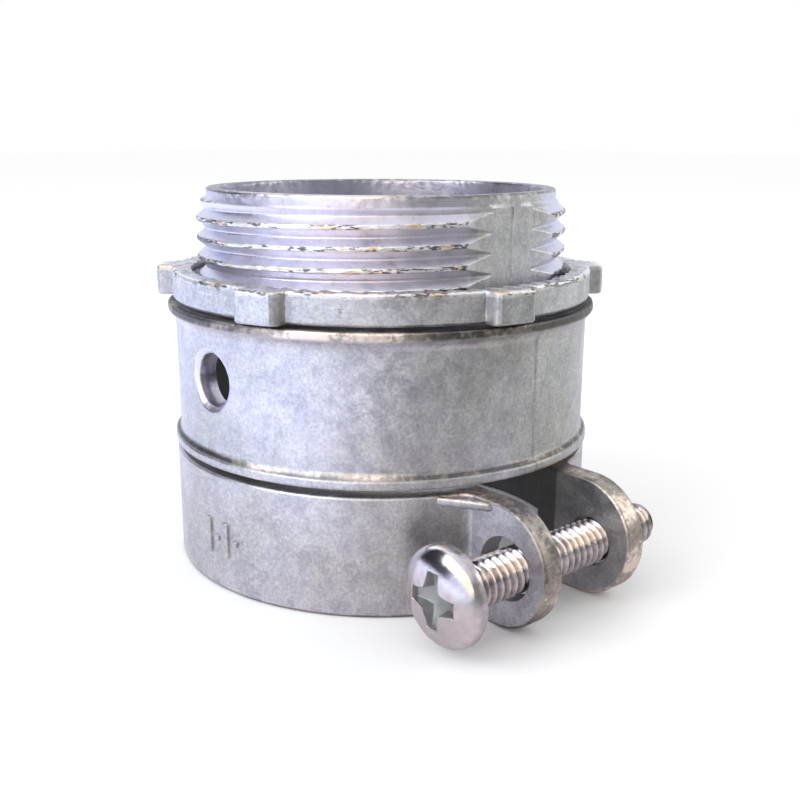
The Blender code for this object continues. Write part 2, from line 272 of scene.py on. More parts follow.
def lay_helix(low, high, pitch, per_pitch, columns, first):
    """Rows that climb one pitch a turn, cut off level at low and high.

    Gives each point's height, the faces, and the numbers of the level rings at low and high,
    which are the last two rows.  Points are numbered from first.
    """
    step = pitch / per_pitch
    rows = math.ceil((high - low + pitch) / step) + 1
    height = low - pitch + step * np.arange(rows)[:, None] + pitch * np.arange(columns) / columns
    index = first + np.arange(rows * columns).reshape(rows, columns)
    bottom = first + rows * columns + np.arange(columns)
    top = bottom + columns
    index = np.where(height < low + step * 0.3, bottom, index)
    index = np.where(height > high - step * 0.3, top, index)
    seam = np.full((rows, 1), top[0])
    seam[: rows - per_pitch, 0] = index[per_pitch:, 0]
    index = np.hstack([index, seam])
    quads = lay_patch(index)
    quads = quads[np.ptp(quads, axis=1) > 0]
    level = np.array([[low] * columns, [high] * columns])
    return np.vstack([height, level]), quads, bottom, top


def lay_patch(index):
    """Quads between neighbouring rows and columns of point numbers."""
    quads = np.stack([index[:-1, :-1], index[:-1, 1:], index[1:, 1:], index[1:, :-1]], axis=-1)
    return quads.reshape(-1, 4)


def lay_rows(index):
    """Quads between neighbouring rows of point numbers, closed round the columns."""
    return lay_patch(np.hstack([index, index[:, :1]]))


def add_object(name, data):
    """An object in the scene, made from a mesh, a camera or a light."""
    obj = bpy.data.objects.new(name, data)
    bpy.context.scene.collection.objects.link(obj)
    return obj


def make_mesh(name, points, faces, marks, sharp=50.0):
    """An object from millimetre points, with its faces turned outwards and shaded smooth."""
    mesh = bpy.data.meshes.new(name)
    mesh.from_pydata((points * MM).tolist(), [], faces)
    for mark, values in marks.items():
        layer = mesh.attributes.new(mark, "FLOAT", "POINT")
        layer.data.foreach_set("value", values.astype(np.float32))
    bm = bmesh.new()
    bm.from_mesh(mesh)
    bmesh.ops.recalc_face_normals(bm, faces=bm.faces)
    bm.to_mesh(mesh)
    bm.free()
    mesh.shade_smooth()
    mesh.set_sharp_from_angle(angle=math.radians(sharp))
    return add_object(name, mesh)


# ---- the casting ----
def thread_height(angle, z):
    """How far up the thread a point is: 0 in the groove, 1 on the crest."""
    phase = (z - CREST_Z) / PITCH - angle / 360.0
    away = np.abs(phase - np.round(phase)) * PITCH
    return 1.0 - np.clip((away - CREST_HALF) / (PITCH / 2 - CREST_HALF - ROOT_HALF), 0.0, 1.0)


def seam_ridge(angle, z, points):
    """Height of the two parting-line seams, broken up as on a trimmed casting."""
    ridge = np.zeros(len(points))
    for middle in SEAMS:
        across = np.radians(turned(angle, middle)) * BARREL_R + 0.05 * rough(points, 0.9, 21)
        ridge += np.exp(-((across / 0.17) ** 2))
    return ridge * (0.55 + 0.45 * rough(points, 0.55, 22)) * np.where(z > 0.0, 0.14, 0.07)


def hub_surface(angle, z):
    """Outer radius of the hub, and how much it is a rough crest."""
    height = thread_height(angle, z)
    points = around(ROOT_R, angle, z)
    run_out = 1.0 - 0.55 * smooth(z, THREAD_TOP - 1.6, THREAD_TOP)
    radius = ROOT_R + (CREST_R - ROOT_R) * height * run_out
    crest = smooth(height, 0.88, 0.99)
    tall = points * (1.0, 1.0, 2.2)
    flash = 0.6 * rough(tall, 0.55, 1) + 0.4 * rough(tall, 0.24, 2)
    radius += crest * 0.085 * flash
    radius += 0.012 * rough(points, 0.7, 3) + 0.02 * rough(points, 4.0, 4)
    for middle in SEAMS:
        toward = np.cos(np.radians(turned(angle, middle)))
        plane = np.where(toward > 0.5, FLAT_DISTANCE / np.maximum(toward, 0.5), FAR)
        plane += 0.03 * rough(points, 1.6, 5) + 0.012 * rough(points, 0.5, 6)
        crest = np.where(plane < radius, 0.0, crest)
        radius = np.minimum(radius, plane)
    return radius + seam_ridge(angle, z, points), crest


def from_mark(mark, angle, z):
    """Distance on the barrel from the middle of an ejector mark."""
    middle, height = mark
    return np.hypot(np.radians(angle - middle) * BARREL_R, z - height)


def barrel_bumps(angle, z, points):
    """Small uneven places of the cast barrel: skin, seam and ejector marks."""
    bumps = 0.012 * rough(points, 0.9, 7) + 0.03 * rough(points, 6.0, 8)
    bumps += seam_ridge(angle, z, points)
    for mark in EJECTOR_MARKS:
        away = from_mark(mark, angle, z)
        ring = np.exp(-(((away - EJECTOR_MARK_R) / 0.18) ** 2))
        bumps += 0.06 * ring * (1.0 + 0.6 * rough(points, 0.5, 23))
        bumps -= 0.03 * (1.0 - smooth(away, EJECTOR_MARK_R - 0.2, EJECTOR_MARK_R))
    return bumps


def barrel_dirt(angle, z, points):
    """Where dirt sits on the barrel: along the parting line and round the ejector marks."""
    across = np.radians(off_seam(angle)) * BARREL_R + 0.05 * rough(points, 0.9, 21)
    dirt = 0.5 * np.exp(-(((across + 0.22) / 0.2) ** 2)) * (0.75 + 0.5 * rough(points, 0.8, 24))
    for mark in EJECTOR_MARKS:
        ring = np.exp(-(((from_mark(mark, angle, z) - EJECTOR_MARK_R) / 0.2) ** 2))
        dirt += 1.1 * ring * np.clip(0.6 + 0.9 * rough(points, 0.5, 25), 0.0, 1.0)
    return dirt


def cut_opening(faces, grid):
    """Takes the faces where the sight hole goes out of both walls; gives the rest and the rims."""
    half = math.degrees(math.asin(OPENING_R / BARREL_R))
    columns = np.where(np.abs(turned(column_angles(COLUMNS), SIGHT_ANGLE)) < half)[0]
    reach = round(OPENING_R / WALL_SPACING)
    rims = {}
    doomed = set()
    for side, (index, heights) in grid.items():
        middle = np.argmin(np.abs(heights - SIGHT_Z))
        rows = np.arange(middle - reach, middle + reach + 1)
        if heights[rows[0]] > heights[rows[-1]]:
            rows = rows[::-1]
        patch = index[np.ix_(rows, columns)]
        doomed |= {tuple(sorted(quad)) for quad in lay_patch(patch)}
        edges = [patch[0, :-1], patch[:-1, -1], patch[-1, :0:-1], patch[:0:-1, 0]]
        rims[side] = np.concatenate(edges)
    return [face for face in faces if tuple(sorted(face)) not in doomed], rims


def hole_axes():
    """Unit vectors in plan: straight out through the sight hole, and across it."""
    turn = math.radians(SIGHT_ANGLE)
    radial = np.array([math.cos(turn), math.sin(turn)])
    return radial, np.array([-radial[1], radial[0]])


def into_hole(points):
    """(across, up) of points, as seen straight into the sight hole."""
    return np.stack([points[:, :2] @ hole_axes()[1], points[:, 2] - SIGHT_Z], axis=1)


def onto_wall(seen, radius):
    """Such points put back on a round wall."""
    radial, tangent = hole_axes()
    depth = np.sqrt(radius ** 2 - seen[:, 0] ** 2)
    xy = depth[:, None] * radial + seen[:, :1] * tangent
    return np.hstack([xy, seen[:, 1:] + SIGHT_Z])


def sight_hole(walls, faces, grid):
    """Swaps a rectangle of the barrel's outer wall and one of its inner for a bevelled hole.

    grid maps "outer" and "inner" to (point numbers, heights): rows by columns.
    """
    faces, rims = cut_opening(faces, grid)
    outer = into_hole(walls[rims["outer"]])
    inner = into_hole(walls[rims["inner"]])
    spoke = np.arctan2(outer[:, 1], outer[:, 0])
    unit = np.stack([np.cos(spoke), np.sin(spoke)], axis=1)
    along = np.outer(spoke, (3.0, 0.0, 0.0))
    jag = 0.05 * rough(along, 0.45, 31)
    lip = SIGHT_BEVEL_R + 0.03 * rough(along, 0.8, 32)
    bevel_edge = unit * SIGHT_BEVEL_R
    hole = unit * SIGHT_R
    rings = [onto_wall(part_way(outer, bevel_edge, t), BARREL_R) for t in (0.35, 0.7, 0.92)]
    rings += [
        onto_wall(unit * lip[:, None], BARREL_R - 0.02),
        onto_wall(unit * (SIGHT_R + 0.12 + jag)[:, None], BARREL_R - 0.42),
        onto_wall(unit * (SIGHT_R + jag * 0.5)[:, None], BARREL_R - 0.6),
        onto_wall(hole, SOCKET_R + 0.9),
        onto_wall(hole, SOCKET_R),
    ]
    rings += [onto_wall(part_way(hole, inner, t), SOCKET_R) for t in (0.4, 0.75)]
    numbers = len(walls) + np.arange(len(rings) * len(spoke)).reshape(len(rings), len(spoke))
    faces += lay_rows(np.vstack([rims["outer"], numbers, rims["inner"]])).tolist()
    return np.vstack([walls, *rings]), faces


def sight_hole_marks(count):
    """Marks of the points that sight_hole() adds, count in each ring from the outside in."""
    marks = {name: np.zeros((SIGHT_RINGS, count)) for name in MARKS}
    # painted light on the hole's bevel and wall
    marks["bare_and_painted_light"][3:8] = 1.6
    marks["oxide_and_shade"][5] = 0.8
    # painted shade on the hole's inner rings, into the socket
    marks["inside"][8:] = 1.0
    return {name: values.ravel() for name, values in marks.items()}


def highlight_by_angle(angle, low, high):
    """Painted highlight by angle: 1 near the highlight's angle, falling below 0, a painted shade,
    from low to high degrees away.
    """
    return 1.0 - 1.6 * smooth(np.abs(turned(angle, HIGHLIGHT_ANGLE)), low, high)


def clear_of_seam(angle):
    return smooth(np.abs(off_seam(angle)), 13.0, 19.0)


def casting_profile():
    """(radius, z) rows down the outside, up the inside and over the rim; how many are outside."""
    outside = rounded([
        (ROOT_R, 0.0, 0.0), (FLANGE_R, 0.0, 0.3), (FLANGE_R, -0.95, 0.25),
        (BARREL_R + 0.25, -1.55, 0.35), (BARREL_R, -2.1, 0.4), (BARREL_R, -16.2, 0.35),
        (BARREL_R + 0.3, -16.75, 0.25), (BEAD_R, -17.0, 0.22), (BEAD_R, BEAD_BOTTOM, 0.2),
        (SOCKET_R, BEAD_BOTTOM, 0.15), (SOCKET_R, BEAD_BOTTOM + 1.0, 0.0),
    ], WALL_SPACING)[1:]
    inside = rounded([
        (SOCKET_R, BEAD_BOTTOM + 1.2, 0.0), (SOCKET_R, STOP_Z, 0.3), (HUB_BORE_R, STOP_Z, 0.4),
        (HUB_BORE_R, HUB_TOP, 0.35), (LEAD_IN_R - 0.1, HUB_TOP, 0.35), (LEAD_IN_R, THREAD_TOP, 0.0),
    ], WALL_SPACING)[:-1]
    return np.vstack([outside, inside]), len(outside)


def turned_skin(angle, radius, z):
    """Uneven radius of the casting's turned surfaces, and the marks of their finish."""
    skin = around(radius, angle, z)
    outer_wall = (radius > SOCKET_R + 1.0) & (z < -0.4)
    rim = z > THREAD_TOP - 0.01
    rim_outside = rim & (radius > LEAD_IN_R - 1.0)
    edge = (radius > FLANGE_R - 0.5) & (z > -1.3)
    bead_edge = (np.abs(z - BEAD_BOTTOM) < 0.3) & (radius > BEAD_R - 0.4)
    bead_edge |= (z < -16.3) & (z > -17.0) & (radius > BARREL_R)
    bumps = np.where(outer_wall, barrel_bumps(angle, z, skin), 0.0)
    bumps += np.where(rim, 0.05 * rough(skin, 0.5, 9) * smooth(z, THREAD_TOP, HUB_TOP), 0.0)
    bumps += np.where(rim_outside, seam_ridge(angle, z, skin) * 0.8, 0.0)
    bumps += np.where(edge, 0.045 * rough(skin, 0.45, 10), 0.0)
    bumps += np.where(bead_edge, 0.03 * rough(skin, 0.4, 11), 0.0)
    # nothing stands outside the CAD solid's own box
    radius = np.minimum(radius + bumps, np.where(edge, FLANGE_R + 0.02, FAR))

    top = z > HUB_TOP - 0.3
    # painted highlight on the flange's and bead's edges near the highlight's angle, painted shade
    # further round; it also wears the oxide
    wear_and_highlight = highlight_by_angle(angle, 12.0, 38.0)
    under_flange = smooth(z, -1.25, -0.75) * (radius > BARREL_R)
    # painted shade in the concave fillet above the bead, weaker near the painted highlight
    painted_fillet_shade = smooth(-z, 16.35, 16.6) * (1.0 - smooth(-z, 16.75, 16.95)) * outer_wall
    painted_fillet_shade *= 1.0 - 0.6 * np.clip(wear_and_highlight, 0.0, 1.0)
    oxide_and_shade = under_flange + painted_fillet_shade + 0.3 * bead_edge + 0.6 * top
    oxide_and_shade += barrel_dirt(angle, z, skin) * outer_wall
    # painted light, brighter towards the bore's mouth
    bore = (radius < HUB_BORE_R + 0.3) * smooth(z, HUB_TOP - 9.0, HUB_TOP - 5.0)
    lead_in = clear_of_seam(angle) * (radius > LEAD_IN_R - 0.3) * (z > THREAD_TOP - 0.1)
    return radius, {
        "flash": 0.3 * top,
        "oxide_and_shade": np.clip(oxide_and_shade, 0.0, 1.0),
        # painted shade in the socket, below the stop
        "inside": 1.0 * ((radius < SOCKET_R + 0.05) & (z < STOP_Z + 0.1)),
        "wear_and_highlight": wear_and_highlight * np.where(z < -3.0, 0.3, 1.0),
        "bare_and_painted_light": bore + lead_in,
    }


def casting():
    """Hub, thread, shoulder, barrel with its sight hole, and bead, in one closed surface."""
    angles = column_angles(COLUMNS)
    height, thread_faces, bottom, top = lay_helix(0.0, THREAD_TOP, PITCH, THREAD_ROWS, COLUMNS, 0)
    angle = np.broadcast_to(angles, height.shape).ravel()
    radius, crest = hub_surface(angle, height.ravel())
    thread = around(radius, angle, height.ravel())
    nothing = np.zeros(len(thread))
    thread_marks = {
        "flash": crest,
        "oxide_and_shade": nothing,
        "inside": nothing,
        # painted highlight on the crests near the highlight's angle, painted shade further round
        "wear_and_highlight": highlight_by_angle(angle, 22.0, 50.0),
        "bare_and_painted_light": clear_of_seam(angle) * (1.0 - crest),
    }

    profile, outer_rows = casting_profile()
    index = len(thread) + np.arange(len(profile) * COLUMNS).reshape(len(profile), COLUMNS)
    angle = np.broadcast_to(angles, index.shape).ravel()
    z = np.repeat(profile[:, 1], COLUMNS)
    radius, skin_marks = turned_skin(angle, np.repeat(profile[:, 0], COLUMNS), z)
    walls = np.vstack([thread, around(radius, angle, z)])
    faces = np.vstack([thread_faces, lay_rows(np.vstack([bottom, index, top]))]).tolist()

    # heights that the sight hole may look for are those of the barrel's two walls only
    outer = profile[:outer_rows]
    socket = np.abs(profile[:, 0] - SOCKET_R) < 1e-6
    grid = {
        "outer": (index[:outer_rows], np.where(outer[:, 0] > SOCKET_R + 1.0, outer[:, 1], FAR)),
        "inner": (index, np.where(socket, profile[:, 1], FAR)),
    }
    points, faces = sight_hole(walls, faces, grid)
    hole_marks = sight_hole_marks((len(points) - len(walls)) // SIGHT_RINGS)
    points, faces, used = compact(points, faces)
    marks = {}
    for name in MARKS:
        values = [thread_marks[name], skin_marks[name], hole_marks[name]]
        marks[name] = np.concatenate(values)[used]
    return make_mesh("casting", points, faces, marks)


# ---- locknut ----
def nut_angles():
    """Angles of the locknut's columns of points, closer together on the sides of the lugs."""
    pitch = 360.0 / LUG_COUNT
    inner, outer = LUG_HALF_TIP - 0.8, LUG_HALF_ROOT + 0.8
    stops = [(-pitch / 2, -outer, 64), (-outer, -inner, 16), (-inner, inner, 22),
             (inner, outer, 16), (outer, pitch / 2, 64)]
    local = np.concatenate([np.linspace(a, b, n, endpoint=False) for a, b, n in stops])
    return np.concatenate([LUG_FIRST + i * pitch + local for i in range(LUG_COUNT)])


def nut_rows(angle, off):
    """Rows of (radius, height, flash): bottom outwards, up the side, over the top, down the bore.

    off is how far each column is from the middle of its lug.
    """
    lug = smooth(LUG_HALF_ROOT - np.abs(off), 0.0, LUG_HALF_ROOT - LUG_HALF_TIP)
    face = LUG_R * math.cos(math.radians(LUG_HALF_TIP)) / np.cos(np.radians(off))
    corner = LUG_CORNER * smooth(np.abs(off), LUG_HALF_TIP - 0.9, LUG_HALF_TIP + 0.1)
    outer = NUT_R + (face - corner - NUT_R) * lug
    chamfer = part_way(NUT_BOTTOM_CHAMFER, LUG_BOTTOM_CHAMFER, lug)
    side_top = NUT_TOP - NUT_ROUND_TOP
    rows = []

    def row(radius, z, flash):
        radius = np.broadcast_to(radius, angle.shape)
        rows.append((radius, np.broadcast_to(z, angle.shape), flash))

    for part in np.linspace(0.0, 1.0, 6):
        row(part_way(NUT_BORE_R + 0.5, outer - chamfer, part), NUT_BOTTOM, 0.0)
    for part in (0.25, 0.6):
        row(outer - chamfer * (1 - part), NUT_BOTTOM + chamfer * part, 0.0)
    for part in np.linspace(0.0, 1.0, 18):
        row(outer, part_way(NUT_BOTTOM + chamfer, side_top, part), 0.55 * (part > 0.93))
    for turn in np.radians((25.0, 50.0, 75.0)):
        in_by = NUT_ROUND_TOP * (1 - math.cos(turn))
        row(outer - in_by, side_top + NUT_ROUND_TOP * math.sin(turn), 1.0)
    saw = (angle * SERRATIONS / 360.0) % 1.0
    tooth = np.where(saw < 0.8, saw / 0.8, (1.0 - saw) / 0.2)
    for part in np.linspace(0.0, 1.0, 16):
        reach = float(smooth(np.array(part), 0.08, 0.2))
        depth = SERRATION_DEPTH * tooth * reach * (1 - 0.7 * lug * (part < 0.4))
        radius = part_way(outer - NUT_ROUND_TOP, NUT_BORE_R + 0.6, part)
        row(radius, NUT_TOP - depth, 1.0 - 0.72 * reach)
    for z in np.linspace(NUT_TOP - 0.75, NUT_BOTTOM + 0.4, 26):
        groove = 1.0 - thread_height(angle + 180.0, np.full(angle.shape, z))
        row(NUT_BORE_R + 0.15 + 0.5 * groove, z, 0.0)
    return rows


def locknut():
    """Cast ring with six flat-faced lugs, a serrated top and a thread inside."""
    angle = nut_angles()
    pitch = 360.0 / LUG_COUNT
    off = (angle - LUG_FIRST + pitch / 2) % pitch - pitch / 2
    rows = nut_rows(angle, off)
    radius = np.array([r for r, _, _ in rows]).ravel()
    height = np.array([z for _, z, _ in rows]).ravel()
    flash = np.repeat([f for _, _, f in rows], len(angle))
    spread = np.tile(angle, len(rows))
    skin = around(radius, spread, height)
    side = radius > NUT_R - 0.1
    from_corner = np.abs(np.tile(off, len(rows))) - (LUG_HALF_ROOT + LUG_HALF_TIP) / 2
    radius = radius + 0.03 * rough(skin, 0.8, 41) * side + 0.05 * rough(skin, 3.5, 42) * side
    radius = radius + 0.05 * flash * rough(skin, 0.42, 43)
    height = height + 0.06 * flash * rough(skin, 0.45, 44)
    # nothing stands outside the CAD solid's own box
    points = around(np.minimum(radius, LUG_R + 0.04), spread, np.minimum(height, NUT_TOP + 0.03))
    index = np.arange(len(points)).reshape(len(rows), len(angle))
    faces = lay_rows(np.vstack([index, index[:1]])).tolist()
    return make_mesh("locknut_ring", points, faces, {
        "flash": flash,
        # painted shade on the lugs' slanted flanks
        "oxide_and_shade": 0.35 * ((np.abs(from_corner) < 0.75) & side),
        "wear_and_highlight": np.full(len(points), 0.7),
    })


# ---- clamp band ----
def arc(radius, start, end, step, centre=(0.0, 0.0)):
    """Points of an arc in plan, both ends included."""
    count = max(2, math.ceil(abs(end - start) / step))
    turns = [math.radians(start + (end - start) * i / count) for i in range(count + 1)]
    return [(centre[0] + radius * math.cos(a), centre[1] + radius * math.sin(a)) for a in turns]


def prism(name, outline, place):
    """A solid from an outline; place turns (u, v, end) into a point, end being 0 or 1."""
    bm = bmesh.new()
    base = [bm.verts.new(Vector(place(u, v, 0)) * MM) for u, v in outline]
    bm.faces.new(base)
    far = [bm.verts.new(Vector(place(u, v, 1)) * MM) for u, v in outline]
    bm.faces.new(far)
    for i in range(len(base)):
        bm.faces.new((base[i - 1], base[i], far[i], far[i - 1]))
    bmesh.ops.recalc_face_normals(bm, faces=bm.faces)
    mesh = bpy.data.meshes.new(name)
    bm.to_mesh(mesh)
    bm.free()
    return add_object(name, mesh)


def combine(obj, operation, tool):
    """Applies an exact Boolean and removes the tool."""
    modifier = obj.modifiers.new(operation, "BOOLEAN")
    modifier.operation = operation
    modifier.object = tool
    modifier.solver = "EXACT"
    made = obj.evaluated_get(bpy.context.evaluated_depsgraph_get())
    result = bpy.data.meshes.new_from_object(made)
    obj.modifiers.clear()
    obj.data = result
    bpy.data.objects.remove(tool, do_unlink=True)


def band_outline():
    """Plan of one half of the band with its ear, on the +Y side, from the back of the band."""
    fillet_x = math.sqrt((BAND_R + EAR_FILLET) ** 2 - (EAR_BACK + EAR_FILLET) ** 2)
    fillet_y = EAR_BACK + EAR_FILLET
    meet = math.degrees(math.atan2(fillet_y, fillet_x))
    face_angle = math.degrees(math.asin(EAR_FACE / BAND_BORE_R))
    outline = arc(BAND_R, 180.0, meet, ARC_STEP)
    outline += arc(EAR_FILLET, 180.0 + meet, 270.0, 9.0, (fillet_x, fillet_y))[1:]
    outline += [(EAR_TIP + 1.0, EAR_BACK), (EAR_TIP + 1.0, EAR_FACE)]
    outline += arc(BAND_BORE_R, face_angle, 180.0, ARC_STEP)
    return outline


def ear_tools(side, hole):
    """Cutters for the ear's round end and its hole."""
    def place(u, v, end):
        return (u, side * (EAR_FACE - 1.0 + 4.9 * end), v)

    low, high, beyond = BASE - 1.0, BAND_TOP + 1.0, EAR_TIP + 2.0
    end = [(EAR_CENTRE, low), (beyond, low), (beyond, high), (EAR_CENTRE, high)]
    end += arc(EAR_END_R, 90.0, -90.0, 4.0, (EAR_CENTRE, BAND_MID))
    x, z, radius = hole
    bore = arc(radius, 0.0, 352.5, 7.5, (x, z))
    return prism("ear_end", end, place), prism("ear_hole", bore, place)


def bevel(bm, edges, width, segments, clamp):
    bmesh.ops.bevel(bm, geom=edges, offset=width * MM, offset_type="OFFSET", segments=segments,
                    profile=0.5, affect="EDGES", clamp_overlap=clamp)


def ear_rib(side):
    """Short rounded web under the band's top edge, between the band and the ear's outer face."""
    start = math.radians(RIB_ANGLE)
    deep = BAND_R - 1.0
    outline = [
        (BAND_R * math.cos(start), BAND_R * math.sin(start) - 0.15),
        (RIB_END, EAR_BACK + RIB_STEP),
        (RIB_END, EAR_BACK - 0.6),
        (deep * math.cos(start), deep * math.sin(start)),
    ]
    top = BAND_TOP - 0.12
    rib = prism("ear_rib", outline, lambda u, v, end: (u, side * v, top - RIB_HEIGHT * (1 - end)))
    bm = bmesh.new()
    bm.from_mesh(rib.data)
    bevel(bm, bm.edges[:], RIB_ROUND, 5, True)
    bm.to_mesh(rib.data)
    bm.free()
    return rib


def raised_mark(angle, half_width, half_height):
    """A raised bar or dot with rounded corners, at an angle on the band's outside."""
    turn = math.radians(angle)
    radial = Vector((math.cos(turn), math.sin(turn), 0.0))
    tangent = Vector((-radial.y, radial.x, 0.0))

    def place(u, v, end):
        out = radial * (BAND_R - 0.3 + 0.6 * end)
        return out + tangent * u + Vector((0, 0, MARK_Z + v))

    outline = []
    for cx, cy, start in ((1, 1, 0), (-1, 1, 90), (-1, -1, 180), (1, -1, 270)):
        centre = (cx * (half_width - MARK_CORNER), cy * (half_height - MARK_CORNER))
        outline += arc(MARK_CORNER, start, start + 90, 22.5, centre)
    return prism("size_mark", outline, place)


def size_mark():
    """Two raised bars and two raised dots on the band, a plain stand-in for cast figures."""
    bars = [raised_mark(MARK_ANGLE + MARK_STEP * i, 0.45, 2.3) for i in range(2)]
    dots = [raised_mark(MARK_ANGLE + MARK_STEP * (i + 0.5), 0.4, 0.4) for i in range(2)]
    return bars + dots


def round_edges(bm, hole):
    """Rounds the band's convex edges: its cast rims, the ear's hole and the raised marks."""
    def at_back(edge):
        return all(v.co.x < 0 and abs(v.co.y) < 1e-5 for v in edge.verts)

    def in_hole(edge):
        x, z, radius = hole
        return all(abs(math.hypot(v.co.x / MM - x, v.co.z / MM - z) - radius) < 0.05
                   and v.co.x > (BAND_R - 3.0) * MM for v in edge.verts)

    def on_mark(edge):
        return all(math.hypot(v.co.x, v.co.y) > (BAND_R + 0.1) * MM and v.co.x < 8 * MM
                   for v in edge.verts)

    sharp = [e for e in bm.edges if len(e.link_faces) == 2 and e.is_convex
             and e.calc_face_angle(0.0) > math.radians(24.0) and not at_back(e)]
    holes = [e for e in sharp if in_hole(e)]
    marks = [e for e in sharp if on_mark(e)]
    rims = [e for e in sharp if e not in set(holes) | set(marks)]
    for edges, width in ((rims, EDGE_ROUND), (holes, HOLE_ROUND), (marks, MARK_ROUND)):
        edges = [e for e in edges if e.is_valid]
        if edges:
            bevel(bm, edges, width, 3, False)


def cut_across(bm, x):
    """Cuts every face that crosses the plane at x in two, and takes nothing away."""
    everything = bm.verts[:] + bm.edges[:] + bm.faces[:]
    bmesh.ops.bisect_plane(bm, geom=everything, dist=1e-7, plane_co=(x * MM, 0, 0),
                           plane_no=(1, 0, 0))


def mark_band(bm):
    """The band's marks: oxide on its lower edge and round its ear, a set level of wear and painted
    highlight on the ear, and painted shade in its bore and on the end of its wall.
    """
    oxide_and_shade = bm.verts.layers.float.new("oxide_and_shade")
    wear_and_highlight = bm.verts.layers.float.new("wear_and_highlight")
    inside = bm.verts.layers.float.new("inside")
    for v in bm.verts:
        x, y, z = v.co / MM
        out = math.hypot(max(x - EAR_CENTRE, 0.0), z - BAND_MID) - EAR_END_R
        if x > EAR_START:
            v[oxide_and_shade] = float(out > -0.3)
            v[wear_and_highlight] = 0.55
        else:
            v[oxide_and_shade] = 0.7 * (z < BASE + 0.3)
        # painted shade in the bore and on the end of the band's wall
        on_wall_end = 0.0 < x < WALL_END_X + 0.02 and abs(y) < EAR_FACE + 0.06
        v[inside] = float(on_wall_end or math.hypot(x, y) < BAND_BORE_R + 0.2)


def band_half(name, side, hole):
    """Half of the clamp band with its ear, edges rounded as cast."""
    height = BAND_TOP - BASE
    band = prism(name, band_outline(), lambda u, v, end: (u, side * v, BASE + height * end))
    for tool in ear_tools(side, hole):
        combine(band, "DIFFERENCE", tool)
    if side < 0:
        for tool in size_mark():
            combine(band, "UNION", tool)
    bm = bmesh.new()
    bm.from_mesh(band.data)
    bmesh.ops.remove_doubles(bm, verts=bm.verts, dist=1e-6)
    bmesh.ops.dissolve_degenerate(bm, edges=bm.edges, dist=1e-6)
    bmesh.ops.recalc_face_normals(bm, faces=bm.faces)
    round_edges(bm, hole)
    if side < 0:
        rib = ear_rib(side)
        bm.from_mesh(rib.data)
        bpy.data.objects.remove(rib, do_unlink=True)
    bmesh.ops.recalc_face_normals(bm, faces=bm.faces)
    # the end of the band's own wall gets painted shade and the ear's face beside it doesn't, with a
    # sharp line
    cut_across(bm, WALL_END_X)
    cut_across(bm, WALL_END_X + 0.05)
    mark_band(bm)
    bm.to_mesh(band.data)
    bm.free()
    band.data.shade_smooth()
    band.data.set_sharp_from_angle(angle=math.radians(38.0))
    weighted = band.modifiers.new("even_normals", "WEIGHTED_NORMAL")
    weighted.keep_sharp = True
    return band


def band_root():
    """The web behind, where the band is one with the barrel and the slot ends."""
    outline = arc(BAND_R, 180.0 - ROOT_ANGLE, 180.0 + ROOT_ANGLE, ARC_STEP)
    outline += arc(BAND_BORE_R, 180.0 + ROOT_ANGLE, 180.0 - ROOT_ANGLE, ARC_STEP)
    low, high = BAND_TOP - 0.3, BEAD_BOTTOM + 0.3
    return prism("band_web", outline, lambda u, v, end: (u, v, low + (high - low) * end))


# ---- clamp screw ----
def recess_depth(x, y):
    """Depth of the cross recess at points of the head's dome."""
    along = np.maximum(np.abs(x), np.abs(y))
    across = np.minimum(np.abs(x), np.abs(y))
    half_width = RECESS_HALF + 0.95 * np.clip(1.0 - along / RECESS_R, 0.0, 1.0) ** 2.0
    outside = np.maximum(across - half_width, along - RECESS_R)
    slope = smooth(np.hypot(x, y), 0.7, RECESS_R + 0.4)
    floor = RECESS_DEPTH * (1.0 - 0.6 * slope)
    return floor * smooth(-outside, -0.06, 0.2)


def screw_head(under):
    """Dome with its cross recess, rim and underside, along Z, the underside at -under.

    Gives points, faces, the numbers of the ring at the shank, grime with painted shade, and depth
    in the recess.
    """
    dome_r = np.concatenate([np.arange(0.06, 3.75, 0.055), np.linspace(3.85, HEAD_R - 0.12, 18)])
    dome_z = under + HEAD_RIM + (HEAD_HEIGHT - HEAD_RIM) * np.sqrt(1 - (dome_r / HEAD_R) ** 2)
    rim = [(HEAD_R, HEAD_RIM), (HEAD_R, 0.45), (HEAD_R, 0.15), (HEAD_R - 0.12, 0.03),
           (HEAD_R - 0.3, 0.0), (4.2, 0.0), (SHANK_R, 0.0)]
    radius = np.concatenate([dome_r, [r for r, _ in rim]])
    height = -np.concatenate([dome_z, [under + z for _, z in rim]])
    angle = np.tile(column_angles(HEAD_COLUMNS), len(radius))
    points = around(np.repeat(radius, HEAD_COLUMNS), angle, np.repeat(height, HEAD_COLUMNS))
    on_dome = np.repeat(np.arange(len(radius)) < len(dome_r), HEAD_COLUMNS)
    depth = np.where(on_dome, recess_depth(points[:, 0], points[:, 1]), 0.0)
    points[:, 2] += depth

    index = np.arange(len(points)).reshape(len(radius), HEAD_COLUMNS)
    centre = len(points)
    faces = lay_rows(index).tolist()
    faces += [[centre, index[0, i - 1], index[0, i]] for i in range(HEAD_COLUMNS)]
    points = np.vstack([points, [[0.0, 0.0, -HEAD_TOP + RECESS_DEPTH]]])
    # grime with painted shade on the rim and underside; the recess's depth sets painted shade there
    grime_and_shade = np.append(np.where(on_dome, 0.0, 0.3), 0.0)
    recess = np.append(np.clip(depth / 0.5, 0.0, 1.0), 1.0)
    return points, faces, index[-1], grime_and_shade, recess


